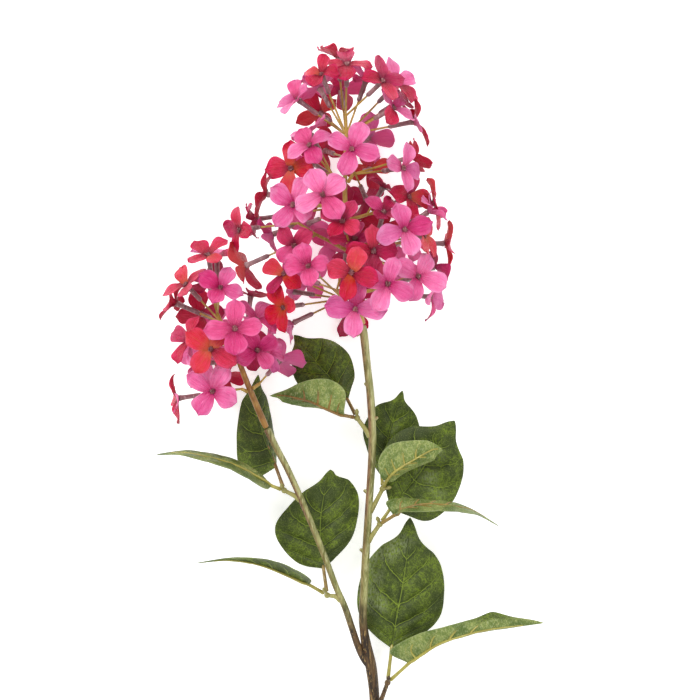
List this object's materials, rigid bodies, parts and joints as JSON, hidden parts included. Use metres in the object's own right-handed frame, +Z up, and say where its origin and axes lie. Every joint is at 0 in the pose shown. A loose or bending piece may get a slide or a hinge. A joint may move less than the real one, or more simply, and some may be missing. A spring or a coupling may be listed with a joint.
{
  "type": "lilac stem",
  "caption": "Artificial lilac stem lying on its side: a forked stem with two panicles of four-petalled florets on tubes and paired broad pointed leaves on short twigs.",
  "frame": {"origin": "centre of the bounding box in plan, on the surface the stem lies on", "axes": "+Y along the stem from the cut end towards the flower heads, +Z up from the surface, +X to the right as in the picture"},
  "size_m": [0.2337, 0.4413, 0.1006],
  "materials": {
    "stem_bark": "moulded plastic over wire, green-tan above and streaked brown bark below",
    "flower_stalk": "smooth yellow-ochre plastic",
    "leaf_twig": "satin green-tan plastic with an orange-brown blush",
    "floret_tube": "ribbed mauve-brown plastic, lightly glossy",
    "floret_eye": "dark mauve-brown throat with pale stamens",
    "petal_pink": "fine woven polyester, pink with paler edges",
    "petal_red": "fine woven polyester, crimson shading to coral near the tube",
    "leaf_dark": "printed woven polyester, dark green upper side with yellow-green veins",
    "leaf_pale": "woven polyester, sage underside with a moulded rib",
    "leaf_rib": "moulded rib and side veins, ochre to red-brown"
  },
  "bodies": {
    "root": {"forked_stem": "stem_bark", "leaf_centre_dark": "leaf_dark", "leaf_left_arched": "leaf_pale", "leaf_left_upright": "leaf_dark", "leaf_low_left_arched": "leaf_pale", "leaf_low_right_arched": "leaf_pale", "leaf_low_right_dark": "leaf_dark", "leaf_right_arched": "leaf_pale", "leaf_right_dark": "leaf_dark", "leaf_right_folded": "leaf_pale", "leaf_upper_left_dark": "leaf_dark", "leaf_upper_left_pale": "leaf_pale", "leaf_upper_right_dark": "leaf_dark", "left_leaf_twig": "leaf_twig", "low_left_leaf_twig": "leaf_twig", "low_right_leaf_twig": "leaf_twig", "main_head_back_low_sprig": "petal_pink", "main_head_back_middle_sprig": "petal_red", "main_head_back_right_sprig": "petal_pink", "main_head_back_top_sprig": "petal_red", "main_head_bottom_sprig": "petal_pink", "main_head_centre_sprig": "petal_red", "main_head_left_front_sprig": "petal_pink", "main_head_left_sprig": "petal_red", "main_head_lower_left_sprig": "petal_pink", "main_head_lower_right_sprig": "petal_pink", "main_head_right_back_sprig": "petal_red", "main_head_right_sprig": "petal_pink", "main_head_stalk": "flower_stalk", "main_head_top_sprig": "petal_red", "main_head_upper_left_sprig": "petal_pink", "main_head_upper_right_sprig": "petal_red", "right_leaf_twig": "leaf_twig", "side_head_back_sprig": "petal_red", "side_head_left_sprig": "petal_red", "side_head_low_right_sprig": "petal_pink", "side_head_low_sprig": "petal_pink", "side_head_right_sprig": "petal_pink", "side_head_stalk": "flower_stalk", "side_head_top_sprig": "petal_red", "upper_left_leaf_twig": "leaf_twig", "upper_right_leaf_twig": "leaf_twig"}
  },
  "joints": []
}
